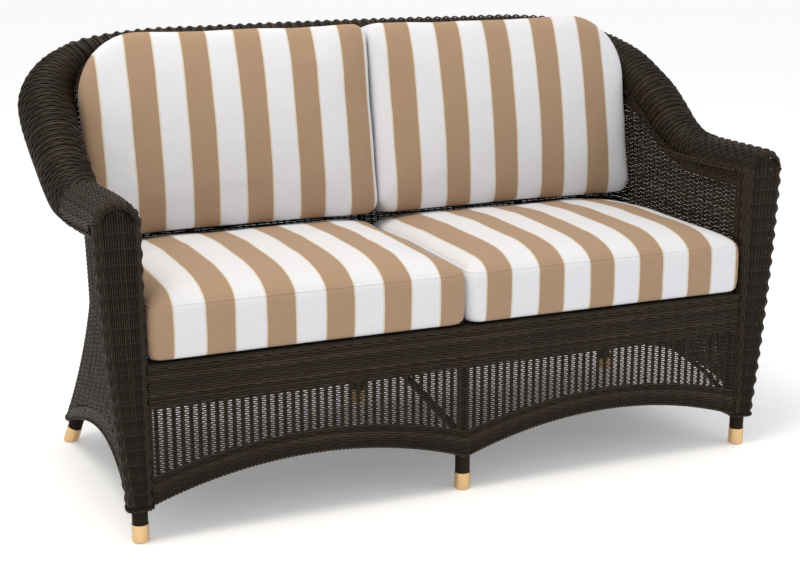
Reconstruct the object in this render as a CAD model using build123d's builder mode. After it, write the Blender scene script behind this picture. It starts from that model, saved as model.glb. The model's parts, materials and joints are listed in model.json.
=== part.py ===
from build123d import *
import math
import os

# Garden loveseat: a welded tube frame, woven resin skins, brass feet and four loose cushions.
# X runs along the seat, the front faces -Y and +Z is up, all in millimetres.
# The origin is on the floor, under the middle of the overall box.
# A "back" distance is counted from the front faces of the posts.

# Driving sizes
overall_height = 887
inside_half_width = 636
inside_depth = 569.3
seat_rail_top = 345
arm_height = 652
recline_slope = 0.19
seat_gap = 0.3
split_gap = 1.2

# Woven skins
panel_thickness = 8
roll_radius = 57
back_roll_radius = 28
roll_wall = 6
arm_dip = 5.5
post_depth = 44
post_wall = 4
roll_row_start = 64
post_top_width = 91
post_foot_width = 51
post_waist_bow = 6
post_hem_height = 67
post_edge_radius = 11
post_hole_play = 4

# The wrap-round wall flares out below the seat and leans back above it
hem_height = 50
hem_side_flare = 56
hem_back_flare = 53.7
hem_corner = 40
side_flare_power = 1.134
back_flare_power = 1.276
hem_corner_power = 2.52
waist_ease = 1
waist_corner = 100
wall_top_drop = 7
wall_top_ease = 7
wall_top_corner = 128
top_corner_power = 4
side_panel_reach = 430

# Front apron
apron_set = 4
apron_thickness = 9
border_proud = 2
border_thickness = 11
band_height = 87
front_arch_end = 73
front_arch_peak = 130
border_end_width = 57
border_peak_width = 49
side_arch_front = 72
side_arch_peak = 133
side_arch_back = 58
side_arch_run = 560
rear_arch_end = 58
rear_arch_peak = 120

# Frame tubes
leg_tube_radius = 12.7
tube_wall = 2
leg_inset = 26
front_leg_set = 25
rail_width = 25
rail_wall = 2.5
side_rail_set = 50
rear_rail_setback = 14.3
rear_leg_lean_x = 90
rear_leg_splay = 82
rear_leg_under_rail = 27
rear_centre_splay = 59.5
rear_centre_set = 5
bow_radius = 11
stay_radius = 9.5
stay_offset = 400
stay_setback = 17
stretcher_radius = 8
stretcher_front_height = 112
stretcher_rear_height = 184
arch_rod_radius = 5
arch_rod_rise = 14
weld_gap = 0.3

# Feet and leg wraps
leg_wrap_thickness = 2.8
ferrule_radius = 16
ferrule_height = 36
ferrule_floor = 3
ferrule_lift = 1
ferrule_rim_radius = 3.5
glide_radius = 11
glide_thickness = 3

# Deck webbing
strap_width = 50
strap_thickness = 2
long_strap_count = 12
cross_strap_count = 6

# Cushions
seat_cushion_front = 3
seat_cushion_rear_gap = 1.5
seat_cushion_side_gap = 2.5
seat_cushion_height = 137
seat_corner = 34
seat_rear_corner = 85
back_cushion_front = 457
back_cushion_clearance = 3
back_cushion_side_gap = 1
back_cushion_height = 416
back_corner = 30
back_top_corner = 112
side_pull = 3

# Values worked out from the ones above
back_centre_height = overall_height - back_roll_radius
roll_line_back = (inside_depth + recline_slope * (back_centre_height - seat_rail_top)
                  + back_roll_radius)
overall_depth = roll_line_back + back_roll_radius
roll_half_span = inside_half_width + roll_radius + panel_thickness
post_arch_radius = post_top_width / 2
post_centre_x = inside_half_width + post_arch_radius
arch_centre_height = arm_height - post_arch_radius
arm_centre_height = arch_centre_height - arm_dip
apron_back = apron_set + apron_thickness
deck_top = seat_rail_top + 2 * strap_thickness
hem_half_width = inside_half_width + hem_side_flare
wall_top_height = overall_height - wall_top_drop
front_leg_x = inside_half_width + front_leg_set
side_rail_x = inside_half_width - side_rail_set
back_cushion_width = inside_half_width - back_cushion_side_gap
back_cushion_bottom = deck_top + seat_gap + seat_cushion_height + back_cushion_clearance
rail_bottom = seat_rail_top - rail_width
leg_top = rail_bottom - weld_gap
rail_back = leg_inset + rail_width / 2
rear_rail_back = inside_depth - rear_rail_setback + rail_width / 2
rear_rail_front = rear_rail_back - rail_width
wrap_radius = leg_tube_radius + leg_wrap_thickness
cup_floor_top = ferrule_lift + ferrule_floor + ferrule_rim_radius
rear_leg_top_back = rear_rail_front - rear_leg_under_rail + rail_width / 2
rear_foot_back = rear_leg_top_back + rear_leg_splay
rear_foot_x = side_rail_x + rear_leg_lean_x
stay_back = inside_depth - stay_setback
cut_size = 3 * overall_height

os.makedirs("parts", exist_ok=True)


def y_at(back):
    """The Y of a place that lies this far behind the posts' front faces."""
    return back - overall_depth / 2


def keep(builder, name):
    """Labels a finished piece and writes it under its own name."""
    builder.part.label = name
    export_step(builder.part, f"parts/{name}.step")


def keep_pair(right, stem):
    """Writes a piece of the +X side and its mirror image on the -X side."""
    with BuildPart() as left:
        mirror(right.part, about=Plane.YZ)
    keep(right, stem + "_right")
    keep(left, stem + "_left")


def facing_front(back):
    """A plane seen from the front, X to the right and Z up, this far back."""
    return Plane.XZ.offset(-y_at(back))


def all_above(height):
    """A block that holds everything above a height, to keep that or to take it away."""
    with BuildPart() as block:
        with BuildSketch(Plane.XY.offset(height)):
            Rectangle(cut_size, cut_size)
        extrude(amount=cut_size)
    return block.part


# The rolled arms and the back roll follow one line from post to post.
# Each row holds the share of the half span, of the run back, of the rise and of the roll's radius.
roll_line_shares = (
    (0.9786, 0.1426, 0.004, 0.842),
    (0.9886, 0.2678, 0.000, 0.842),
    (0.9943, 0.3803, 0.027, 0.860),
    (0.9957, 0.4675, 0.109, 0.895),
    (0.9986, 0.5547, 0.244, 0.930),
    (1.0000, 0.6418, 0.372, 0.965),
    (0.9957, 0.7290, 0.469, 1.000),
    (0.9857, 0.8162, 0.578, 1.000),
    (0.9586, 0.8906, 0.682, 0.912),
    (0.9130, 0.9540, 0.783, 0.790),
    (0.8560, 0.9840, 0.872, 0.667),
)
back_line_shares = (
    (0.7775, 0.9965, 0.938, 0.350), (0.6676, 1.0000, 0.977, 0.120),
    (0.4280, 1.0000, 0.992, 0.000), (0.2140, 1.0000, 0.998, 0.000),
)
corner_radius_share = roll_line_shares[-1][3]
roll_run = roll_line_back - roll_row_start
roll_rise = back_centre_height - arm_centre_height


def roll_stations():
    """Centres and radii along the roll, from the right post to the middle of the back."""
    stations = [(Vector(post_centre_x, y_at(post_depth), arch_centre_height), post_arch_radius)]
    for across, back, rise, fat in roll_line_shares:
        centre = Vector(roll_half_span * across, y_at(roll_row_start + roll_run * back),
                        arm_centre_height + roll_rise * rise)
        stations.append((centre, roll_radius * fat))
    for across, back, rise, fat in back_line_shares:
        centre = Vector(roll_half_span * across, y_at(roll_row_start + roll_run * back),
                        arm_centre_height + roll_rise * rise)
        extra = (roll_radius * corner_radius_share - back_roll_radius) * fat
        stations.append((centre, back_roll_radius + extra))
    stations.append((Vector(0, y_at(roll_line_back), back_centre_height), back_roll_radius))
    return stations


def mirrored(stations):
    return [(Vector(-centre.X, centre.Y, centre.Z), radius) for centre, radius in stations]


half_line = roll_stations()
whole_line = half_line + mirrored(half_line[:-1])[::-1]
arm_count = len(roll_line_shares) + 1


def roll_plane(line, index):
    """A plane square to the line, with its own Y axis pointing up."""
    before = line[max(index - 1, 0)][0]
    after = line[min(index + 1, len(line) - 1)][0]
    if index == 0:
        after = Vector(before.X, after.Y, before.Z)
    if index == len(line) - 1:
        before = Vector(after.X, before.Y, after.Z)
    along = (after - before).normalized()
    return Plane(origin=line[index][0], x_dir=Vector(0, 0, 1).cross(along), z_dir=along)


def roll_body(first, last, shrink=0):
    """A closed roll between two stations of the whole line."""
    with BuildPart() as body:
        for index in range(first, last + 1):
            with BuildSketch(roll_plane(whole_line, index)):
                Circle(whole_line[index][1] - shrink)
        loft()
    return body.part


arm_last = arm_count - 1
line_last = len(whole_line) - 1


def arm_shape(shrink=0):
    """The roll of an arm leaves the post straight back and then climbs through its stations."""
    straight = roll_row_start - post_depth
    with BuildPart() as body:
        with BuildSketch(roll_plane(whole_line, 0).offset(straight)):
            Circle(whole_line[0][1] - shrink)
        for index in range(1, arm_last + 1):
            with BuildSketch(roll_plane(whole_line, index)):
                Circle(whole_line[index][1] - shrink)
        loft()
        with BuildSketch(roll_plane(whole_line, 0)):
            Circle(whole_line[0][1] - shrink)
        extrude(amount=straight)
    return body.part


arm_body = arm_shape()
back_body = roll_body(arm_last, line_last - arm_last)


def arm_rolls():
    """The woven skins of the arms are hollow rolls that grow towards the back corners."""
    with BuildPart() as roll:
        add(arm_body)
        add(arm_shape(roll_wall), mode=Mode.SUBTRACT)
    keep_pair(roll, "arm_roll_wicker")


def back_roll():
    with BuildPart() as roll:
        add(back_body)
        add(roll_body(arm_last, line_last - arm_last, roll_wall), mode=Mode.SUBTRACT)
    keep(roll, "back_roll_wicker")


def bow_line():
    """The bent tube inside the rolls lies under their tops and ends over the front uprights."""
    line = []
    for index in range(len(whole_line)):
        plane = roll_plane(whole_line, index)
        lift = whole_line[index][1] - panel_thickness - bow_radius - seat_gap
        line.append((plane.origin + plane.y_dir * lift, bow_radius))
    start = Vector(front_leg_x, y_at(leg_inset - leg_tube_radius), arch_centre_height + bow_radius)
    return [(start, bow_radius)] + line + mirrored([(start, bow_radius)])


bow = bow_line()


def bow_body(radius):
    with BuildPart() as body:
        for index in range(len(bow)):
            with BuildSketch(roll_plane(bow, index)):
                Circle(radius)
        loft()
    return body.part


def bow_tube():
    with BuildPart() as tube:
        add(bow_body(bow_radius))
        add(bow_body(bow_radius - tube_wall), mode=Mode.SUBTRACT)
    keep(tube, "arm_and_back_tube")


def post_outline(inset):
    """The front view of a post: an arched top, a straight inner edge and a bowed outer edge."""
    inner = inside_half_width + inset
    outer_top = inside_half_width + post_top_width - inset
    outer_foot = inside_half_width + post_foot_width - inset
    outer_waist = (outer_top + outer_foot) / 2 + post_waist_bow
    foot = post_hem_height + inset
    middle = (foot + arch_centre_height) / 2
    with BuildSketch() as outline:
        with BuildLine():
            Line((inner, foot), (inner, arch_centre_height))
            ThreePointArc((inner, arch_centre_height), (post_centre_x, arm_height - inset),
                          (outer_top, arch_centre_height))
            ThreePointArc((outer_top, arch_centre_height), (outer_waist, middle), (outer_foot, foot))
            Line((outer_foot, foot), (inner, foot))
        make_face()
    return outline.sketch


def front_posts():
    """Each post is a hollow woven sleeve round its upright, with ways in for the rail and the bow."""
    with BuildPart() as post:
        with BuildSketch(facing_front(0)):
            add(post_outline(0))
        extrude(amount=-post_depth)
        fillet(post.faces().sort_by(Axis.Y)[0].edges(), radius=post_edge_radius)
        with BuildSketch(facing_front(post_wall)):
            add(post_outline(post_wall))
        extrude(amount=-(post_depth - 2 * post_wall), mode=Mode.SUBTRACT)
        with BuildSketch(Plane.XY):
            with Locations((front_leg_x, y_at(leg_inset))):
                Circle(wrap_radius + seat_gap)
        extrude(amount=2 * post_hem_height, mode=Mode.SUBTRACT)
        with BuildSketch(Plane.YZ.offset(inside_half_width - panel_thickness)):
            with Locations((y_at(leg_inset), rail_bottom + rail_width / 2)):
                Rectangle(rail_width + 2 * seat_gap, rail_width + 2 * seat_gap)
        extrude(amount=3 * panel_thickness, mode=Mode.SUBTRACT)
        with BuildSketch(facing_front(post_depth - 2 * panel_thickness)):
            with Locations((bow[1][0].X, bow[1][0].Z)):
                Circle(bow_radius + post_hole_play)
        extrude(amount=-3 * panel_thickness, mode=Mode.SUBTRACT)
    keep_pair(post, "front_post_wicker")


hem_level_shares = (1.0, 0.85, 0.7, 0.55, 0.4, 0.25, 0.12)
top_level_shares = (0.0, 0.07, 0.15, 0.3, 0.65, 1.0)


def wall_below(drop):
    """Height, half width, back distance and corner radius of the outer face, down from the seat."""
    waist = inside_half_width + panel_thickness + waist_ease
    return (seat_rail_top - (seat_rail_top - hem_height) * drop,
            waist + (hem_half_width - waist) * drop ** side_flare_power,
            inside_depth + panel_thickness + hem_back_flare * drop ** back_flare_power,
            waist_corner - (waist_corner - hem_corner) * drop ** hem_corner_power)


def wall_above(rise):
    """The same four sizes, up from the seat."""
    waist = inside_half_width + panel_thickness
    up = (wall_top_height - seat_rail_top) * rise
    return (seat_rail_top + up,
            waist + waist_ease + (wall_top_ease - waist_ease) * rise,
            inside_depth + panel_thickness + recline_slope * up,
            wall_top_corner - (wall_top_corner - waist_corner) * (1 - rise) ** top_corner_power)


def tub_body(inset, front):
    """A solid tub through the wall's levels, square in front and rounded at the back corners."""
    levels = [wall_below(drop) for drop in hem_level_shares] + [wall_above(rise) for rise in top_level_shares]
    with BuildPart() as tub:
        for height, half_width, back, corner in levels:
            side = half_width - inset
            rear = y_at(back - inset)
            round_off = corner - inset
            bend = round_off * (1 - math.sqrt(0.5))
            with BuildSketch(Plane.XY.offset(height)):
                with BuildLine():
                    Line((-side, y_at(front)), (side, y_at(front)))
                    Line((side, y_at(front)), (side, rear - round_off))
                    ThreePointArc((side, rear - round_off), (side - bend, rear - bend), (side - round_off, rear))
                    Line((side - round_off, rear), (round_off - side, rear))
                    ThreePointArc((round_off - side, rear), (bend - side, rear - bend), (-side, rear - round_off))
                    Line((-side, rear - round_off), (-side, y_at(front)))
                make_face()
        loft(ruled=True)
    return tub.part


def wall_body():
    with BuildPart() as wall:
        add(tub_body(0, post_depth + seat_gap))
        add(tub_body(panel_thickness, post_depth - panel_thickness), mode=Mode.SUBTRACT)
    return wall.part


wall = wall_body()


def above_roll_line():
    """A band along the rolls that holds what stands just above their centre line."""
    with BuildPart() as band:
        for index in range(len(whole_line)):
            with BuildSketch(roll_plane(whole_line, index)):
                with Locations((0, roll_radius / 2)):
                    Rectangle(3 * roll_radius, roll_radius)
        loft(ruled=True)
    return band.part


# The rolls made fatter by the seating gap, so that the walls end just against them.
roll_rooms = [arm_shape(-seat_gap), roll_body(arm_last, line_last - arm_last, -seat_gap),
              roll_body(line_last - arm_last, line_last, -seat_gap)]


def wall_share(behind_split):
    """A block round the right-hand wall in front of the corner, or round both corners and the back."""
    with BuildPart() as block:
        with BuildSketch(Plane.XY):
            if behind_split:
                with Locations((0, y_at(side_panel_reach + seat_gap + overall_depth / 2))):
                    Rectangle(cut_size, overall_depth)
            else:
                with Locations((overall_depth / 2, y_at(side_panel_reach / 2))):
                    Rectangle(overall_depth, side_panel_reach)
        extrude(amount=cut_size)
    return block.part


def upper_wall(behind_split):
    """The wall between the seat rails and the rolls."""
    with BuildPart() as panel:
        add(wall)
        add(all_above(seat_rail_top), mode=Mode.INTERSECT)
        add(wall_share(behind_split), mode=Mode.INTERSECT)
        for room in roll_rooms:
            add(room, mode=Mode.SUBTRACT)
        add(above_roll_line(), mode=Mode.SUBTRACT)
    with BuildPart() as below_rolls:
        add(panel.solids().sort_by(SortBy.VOLUME)[-1])
    return below_rolls


def side_arch_block():
    """What is taken away under the long arch of the sides."""
    front = y_at(0)
    back = y_at(side_arch_run)
    with BuildPart() as block:
        with BuildSketch(Plane.YZ.offset(-overall_depth)):
            with BuildLine():
                ThreePointArc((front, side_arch_front), ((front + back) / 2, side_arch_peak),
                              (back, side_arch_back))
                Polyline((back, side_arch_back), (back, 0), (front, 0), (front, side_arch_front))
            make_face()
        extrude(amount=2 * overall_depth)
    return block.part


def rear_arch_block():
    """What is taken away under the two arches of the back."""
    reach = rear_foot_x - 2 * wrap_radius
    with BuildPart() as block:
        for side in (-1, 1):
            with BuildSketch(facing_front(side_panel_reach + post_depth)):
                with BuildLine():
                    ThreePointArc((side * wrap_radius, rear_arch_end), (side * reach / 2, rear_arch_peak),
                                  (side * reach, rear_arch_end))
                    Polyline((side * reach, rear_arch_end), (side * reach, 0), (side * wrap_radius, 0),
                             (side * wrap_radius, rear_arch_end))
                make_face()
            extrude(amount=-overall_depth)
    return block.part


def lower_wall(behind_split):
    """Below the seat the wall flares out to the feet and is cut to arches between them."""
    with BuildPart() as apron:
        add(wall)
        add(all_above(rear_arch_end), mode=Mode.INTERSECT)
        add(all_above(seat_rail_top - seat_gap), mode=Mode.SUBTRACT)
        add(wall_share(behind_split), mode=Mode.INTERSECT)
        add(side_arch_block(), mode=Mode.SUBTRACT)
        if behind_split:
            add(rear_arch_block(), mode=Mode.SUBTRACT)
    return apron


def walls():
    """The open panels above the seat and the arched aprons below it."""
    keep_pair(upper_wall(False), "side_panel_wicker")
    keep(upper_wall(True), "back_panel_wicker")
    keep_pair(lower_wall(False), "side_apron_wicker")
    keep(lower_wall(True), "rear_apron_wicker")


def double_arch(left_to_right, end, peak):
    """Two arches side by side from one post to the other, meeting over the middle leg."""
    half = left_to_right
    ThreePointArc((-half, end), (-half / 2, peak), (0, end))
    ThreePointArc((0, end), (half / 2, peak), (half, end))


apron_half = inside_half_width - seat_gap
band_bottom = deck_top - band_height
border_end = front_arch_end + border_end_width
border_peak = front_arch_peak + border_peak_width


def front_band():
    with BuildPart() as band:
        with BuildSketch(facing_front(apron_set)):
            with Locations((0, deck_top - band_height / 2)):
                Rectangle(2 * apron_half, band_height)
        extrude(amount=-apron_thickness)
    keep(band, "front_band_wicker")


def front_open_weave():
    with BuildPart() as weave:
        with BuildSketch(facing_front(apron_set)):
            with BuildLine():
                double_arch(apron_half, border_end, border_peak)
                Polyline((apron_half, border_end), (apron_half, band_bottom), (-apron_half, band_bottom),
                         (-apron_half, border_end))
            make_face()
        extrude(amount=-apron_thickness)
    keep(weave, "front_open_weave_wicker")


def front_border():
    with BuildPart() as border:
        with BuildSketch(facing_front(border_proud)):
            with BuildLine():
                double_arch(apron_half, border_end, border_peak)
                Line((apron_half, border_end), (apron_half, front_arch_end))
                double_arch(apron_half, front_arch_end, front_arch_peak)
                Line((-apron_half, front_arch_end), (-apron_half, border_end))
            make_face()
        extrude(amount=-border_thickness)
    keep(border, "front_border_wicker")


def leg_plane(foot, top):
    """A plane at the foot, square to the leg that runs up from it."""
    along = (Vector(*top) - Vector(*foot)).normalized()
    return Plane(origin=foot, x_dir=Vector(0, 1, 0).cross(along), z_dir=along)


front_foot = (front_leg_x, y_at(leg_inset), 0)
front_top = (front_leg_x, y_at(leg_inset), arm_height)
centre_foot = (0, y_at(leg_inset), 0)
centre_top = (0, y_at(leg_inset), leg_top)
rear_foot = (rear_foot_x, y_at(rear_foot_back), 0)
rear_top = (side_rail_x, y_at(rear_leg_top_back), leg_top)
rear_centre_top_back = (rear_rail_front + rear_rail_back) / 2 - rear_centre_set
rear_centre_foot = (0, y_at(rear_centre_top_back + rear_centre_splay), 0)
rear_centre_top = (0, y_at(rear_centre_top_back), leg_top)

leg_lines = {
    "front_right": (front_foot, front_top),
    "front_centre": (centre_foot, centre_top),
    "rear_right": (rear_foot, rear_top),
    "rear_centre": (rear_centre_foot, rear_centre_top),
}


def leg_tube(foot, top, end_height):
    """A round tube along a leg line, from inside its ferrule up to a flat end."""
    length = (Vector(*top) - Vector(*foot)).length
    with BuildPart() as tube:
        with BuildSketch(leg_plane(foot, top).offset(-leg_tube_radius)):
            Circle(leg_tube_radius)
            Circle(leg_tube_radius - tube_wall, mode=Mode.SUBTRACT)
        extrude(amount=length + 4 * leg_tube_radius)
        add(all_above(cup_floor_top), mode=Mode.INTERSECT)
        add(all_above(end_height), mode=Mode.SUBTRACT)
    return tube


def leg_wrap(foot, top, end_height):
    """The flat cane wound round the bare part of a leg, between the ferrule and the woven skirt."""
    with BuildPart() as wrap:
        with BuildSketch(leg_plane(foot, top).offset(ferrule_height + seat_gap)):
            Circle(wrap_radius)
            Circle(leg_tube_radius + seat_gap, mode=Mode.SUBTRACT)
        extrude(amount=end_height)
        add(all_above(end_height), mode=Mode.SUBTRACT)
    return wrap


def foot_cup(foot, top):
    """A brass cup on the leg's end: a wall round the tube and a floor with the glide's socket."""
    plane = leg_plane(foot, top)
    with BuildPart() as bore:
        with BuildSketch(plane.offset(-ferrule_radius)):
            Circle(leg_tube_radius + seat_gap)
        extrude(amount=2 * ferrule_radius + ferrule_height)
        add(all_above(cup_floor_top - seat_gap), mode=Mode.INTERSECT)
    with BuildPart() as cup:
        with BuildSketch(plane.offset(-ferrule_radius)):
            Circle(ferrule_radius)
        extrude(amount=ferrule_radius + ferrule_height)
        add(all_above(ferrule_lift), mode=Mode.INTERSECT)
        fillet(cup.faces().sort_by(Axis.Z)[0].edges(), radius=ferrule_rim_radius)
        add(bore.part, mode=Mode.SUBTRACT)
        with BuildSketch(Plane.XY):
            with Locations((foot[0], foot[1])):
                Circle(glide_radius + seat_gap)
        extrude(amount=glide_thickness, mode=Mode.SUBTRACT)
    return cup


def feet():
    """Every leg ends in a brass ferrule with a nylon glide let into its floor."""
    with BuildPart() as glides:
        for foot, top in leg_lines.values():
            for x in sorted({foot[0], -foot[0]}):
                with BuildSketch(Plane.XY):
                    with Locations((x, foot[1])):
                        Circle(glide_radius)
                extrude(amount=glide_thickness)
    keep(glides, "floor_glides")
    for name, (foot, top) in leg_lines.items():
        if name.endswith("centre"):
            keep(foot_cup(foot, top), "ferrule_" + name)
        else:
            keep_pair(foot_cup(foot, top), "ferrule_" + name[:-len("_right")])


def legs():
    upright_top = bow[0][0].Z - bow_radius - seat_gap
    keep_pair(leg_tube(front_foot, front_top, upright_top), "front_upright")
    keep(leg_tube(centre_foot, centre_top, leg_top), "front_centre_leg")
    keep_pair(leg_tube(rear_foot, rear_top, leg_top), "rear_leg")
    keep(leg_tube(rear_centre_foot, rear_centre_top, leg_top), "rear_centre_leg")
    wrap_top = post_hem_height + post_wall
    keep_pair(leg_wrap(front_foot, front_top, wrap_top), "leg_wrap_front")
    keep(leg_wrap(centre_foot, centre_top, wrap_top), "leg_wrap_front_centre")
    keep_pair(leg_wrap(rear_foot, rear_top, rear_arch_end - seat_gap), "leg_wrap_rear")
    keep(leg_wrap(rear_centre_foot, rear_centre_top, rear_arch_end - seat_gap), "leg_wrap_rear_centre")


def square_tube(plane, length):
    """A square tube that runs along a plane's normal from its origin."""
    with BuildPart() as tube:
        with BuildSketch(plane):
            Rectangle(rail_width, rail_width)
            Rectangle(rail_width - 2 * rail_wall, rail_width - 2 * rail_wall, mode=Mode.SUBTRACT)
        extrude(amount=length)
    return tube.part


rail_mid_height = seat_rail_top - rail_width / 2
side_rail_start = rail_back + weld_gap
side_rail_length = rear_rail_front - side_rail_start - weld_gap


def seat_rails():
    """A rectangle of square tubes carries the deck, with a bar under its middle."""
    front_half = front_leg_x - leg_tube_radius - weld_gap
    with BuildPart() as front:
        start = (-front_half, y_at(leg_inset), rail_mid_height)
        add(square_tube(Plane(origin=start, x_dir=(0, 1, 0), z_dir=(1, 0, 0)), 2 * front_half))
    keep(front, "seat_rail_front")
    for name, x in (("right", side_rail_x), ("left", -side_rail_x), ("middle", 0)):
        with BuildPart() as side:
            start = (x, y_at(side_rail_start), rail_mid_height)
            add(square_tube(Plane(origin=start, x_dir=(1, 0, 0), z_dir=(0, 1, 0)), side_rail_length))
        keep(side, "seat_rail_" + name)
    rear_half = side_rail_x + rail_width / 2
    mitre = rear_half - (inside_half_width - waist_corner + rail_width)
    with BuildPart() as rear:
        start = (-rear_half, y_at((rear_rail_front + rear_rail_back) / 2), rail_mid_height)
        add(square_tube(Plane(origin=start, x_dir=(0, 1, 0), z_dir=(1, 0, 0)), 2 * rear_half))
        with BuildSketch(Plane.XY.offset(rail_bottom)):
            for side in (-1, 1):
                with BuildLine():
                    Polyline((side * rear_half, y_at(rear_rail_back)),
                             (side * (rear_half - mitre), y_at(rear_rail_back)),
                             (side * rear_half, y_at(rear_rail_front + rail_wall)), close=True)
                make_face()
        extrude(amount=rail_width, mode=Mode.SUBTRACT)
    keep(rear, "seat_rail_rear")


def centre_stretcher():
    """A round bar from the front middle leg back to the rear one, rising towards the back."""
    rear_share = stretcher_rear_height / leg_top
    rear_leg_y = rear_centre_foot[1] + (rear_centre_top[1] - rear_centre_foot[1]) * rear_share
    start = Vector(0, y_at(leg_inset) + leg_tube_radius, stretcher_front_height)
    end = Vector(0, rear_leg_y - leg_tube_radius, stretcher_rear_height)
    along = (end - start).normalized()
    with BuildPart() as cut:
        for foot, top in ((centre_foot, centre_top), (rear_centre_foot, rear_centre_top)):
            with BuildSketch(leg_plane(foot, top)):
                Circle(leg_tube_radius + weld_gap)
            extrude(amount=leg_top)
    with BuildPart() as bar:
        with BuildSketch(Plane(origin=start - along * leg_tube_radius / 2, x_dir=(1, 0, 0), z_dir=along)):
            Circle(stretcher_radius)
            Circle(stretcher_radius - tube_wall, mode=Mode.SUBTRACT)
        extrude(amount=(end - start).length + leg_tube_radius)
        add(cut.part, mode=Mode.SUBTRACT)
    keep(bar, "centre_stretcher")


def back_stays():
    """Three leaning stays stand on the rear rail and carry the back panel."""
    slope = Vector(0, recline_slope, 1).normalized()
    foot_back = stay_back
    stay_stop = back_centre_height - back_roll_radius
    with BuildPart() as stays:
        for x in (-stay_offset, 0, stay_offset):
            with BuildSketch(Plane(origin=(x, y_at(foot_back), seat_rail_top), x_dir=(1, 0, 0), z_dir=slope)
                             .offset(-stay_radius)):
                Circle(stay_radius)
                Circle(stay_radius - tube_wall, mode=Mode.SUBTRACT)
            extrude(amount=overall_height)
        add(all_above(seat_rail_top), mode=Mode.INTERSECT)
        add(all_above(stay_stop), mode=Mode.SUBTRACT)
    keep(stays, "back_stays")


def rod_along(points):
    """A round rod along an arc through three places."""
    with BuildPart() as rod:
        with BuildLine() as path:
            ThreePointArc(*points)
        with BuildSketch(Plane(origin=path.line @ 0, z_dir=path.line % 0)):
            Circle(arch_rod_radius)
        sweep(path=path.line)
    return rod.part


def leg_place(foot, top, height):
    """The point of a leg line at a height."""
    share = height / top[2]
    return Vector(*foot) + (Vector(*top) - Vector(*foot)) * share


def arch_rods():
    """Bent rods behind the borders join the feet of the legs along every arch."""
    with BuildPart() as leg_room:
        for foot, top in leg_lines.values():
            for side in (-1, 1):
                with BuildSketch(leg_plane((side * foot[0], foot[1], foot[2]), (side * top[0], top[1], top[2]))):
                    Circle(leg_tube_radius + weld_gap)
                extrude(amount=leg_top)
    front_back = apron_back + seat_gap + arch_rod_radius
    end_height = front_arch_end + arch_rod_rise
    peak_height = front_arch_peak + arch_rod_rise
    inner = leg_tube_radius + weld_gap
    outer = inside_half_width - arch_rod_radius / 2
    with BuildPart() as front:
        for side in (-1, 1):
            add(rod_along(((side * inner, y_at(front_back), end_height),
                           (side * (inner + outer) / 2, y_at(front_back), peak_height),
                           (side * outer, y_at(front_back), end_height))))
        add(leg_room.part, mode=Mode.SUBTRACT)
    keep(front, "front_arch_rods")

    rear_end_height = rear_arch_end + arch_rod_rise
    low = leg_place(rear_foot, rear_top, rear_end_height)
    middle = leg_place(rear_centre_foot, rear_centre_top, rear_end_height)
    with BuildPart() as side_rods:
        for side in (-1, 1):
            start = (side * front_leg_x, y_at(post_depth + arch_rod_radius / 2), side_arch_front + arch_rod_rise)
            top = (side * (front_leg_x + low.X - 2 * arch_rod_radius) / 2, (y_at(post_depth) + low.Y) / 2,
                   side_arch_peak + arch_rod_rise)
            add(rod_along((start, top, (side * low.X, low.Y - leg_tube_radius / 2, low.Z))))
        add(leg_room.part, mode=Mode.SUBTRACT)
    keep(side_rods, "side_arch_rods")
    with BuildPart() as rear:
        for side in (-1, 1):
            start = (side * leg_tube_radius / 2, middle.Y, rear_end_height)
            top = (side * low.X / 2, middle.Y - 2 * arch_rod_radius, rear_arch_peak + arch_rod_rise)
            add(rod_along((start, top, (side * (low.X - leg_tube_radius / 2), low.Y, low.Z))))
        add(leg_room.part, mode=Mode.SUBTRACT)
    keep(rear, "rear_arch_rods")


def deck_straps():
    """Webbing straps cross each other on the rails: the cross straps below, the long ones on top."""
    cross_half = side_rail_x + rail_width / 2 - rail_wall
    first_back = side_rail_start + strap_width / 2
    last_back = rear_rail_front - strap_width / 2 - strap_width / 2
    pitch = (last_back - first_back) / (cross_strap_count - 1)
    with BuildPart() as cross:
        for index in range(cross_strap_count):
            with BuildSketch(Plane.XY.offset(seat_rail_top)):
                with Locations((0, y_at(first_back + pitch * index))):
                    Rectangle(2 * cross_half, strap_width)
            extrude(amount=strap_thickness)
    keep(cross, "cross_webbing")
    long_start = leg_inset - rail_width / 4
    long_end = rear_rail_front + rail_width / 4
    long_pitch = (2 * cross_half - strap_width) / (long_strap_count - 1)
    with BuildPart() as long_straps:
        for index in range(long_strap_count):
            x = -cross_half + strap_width / 2 + long_pitch * index
            with BuildSketch(Plane.XY.offset(seat_rail_top + strap_thickness)):
                with Locations((x, y_at((long_start + long_end) / 2))):
                    Rectangle(strap_width, long_end - long_start)
            extrude(amount=strap_thickness)
    keep(long_straps, "long_webbing")


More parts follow.
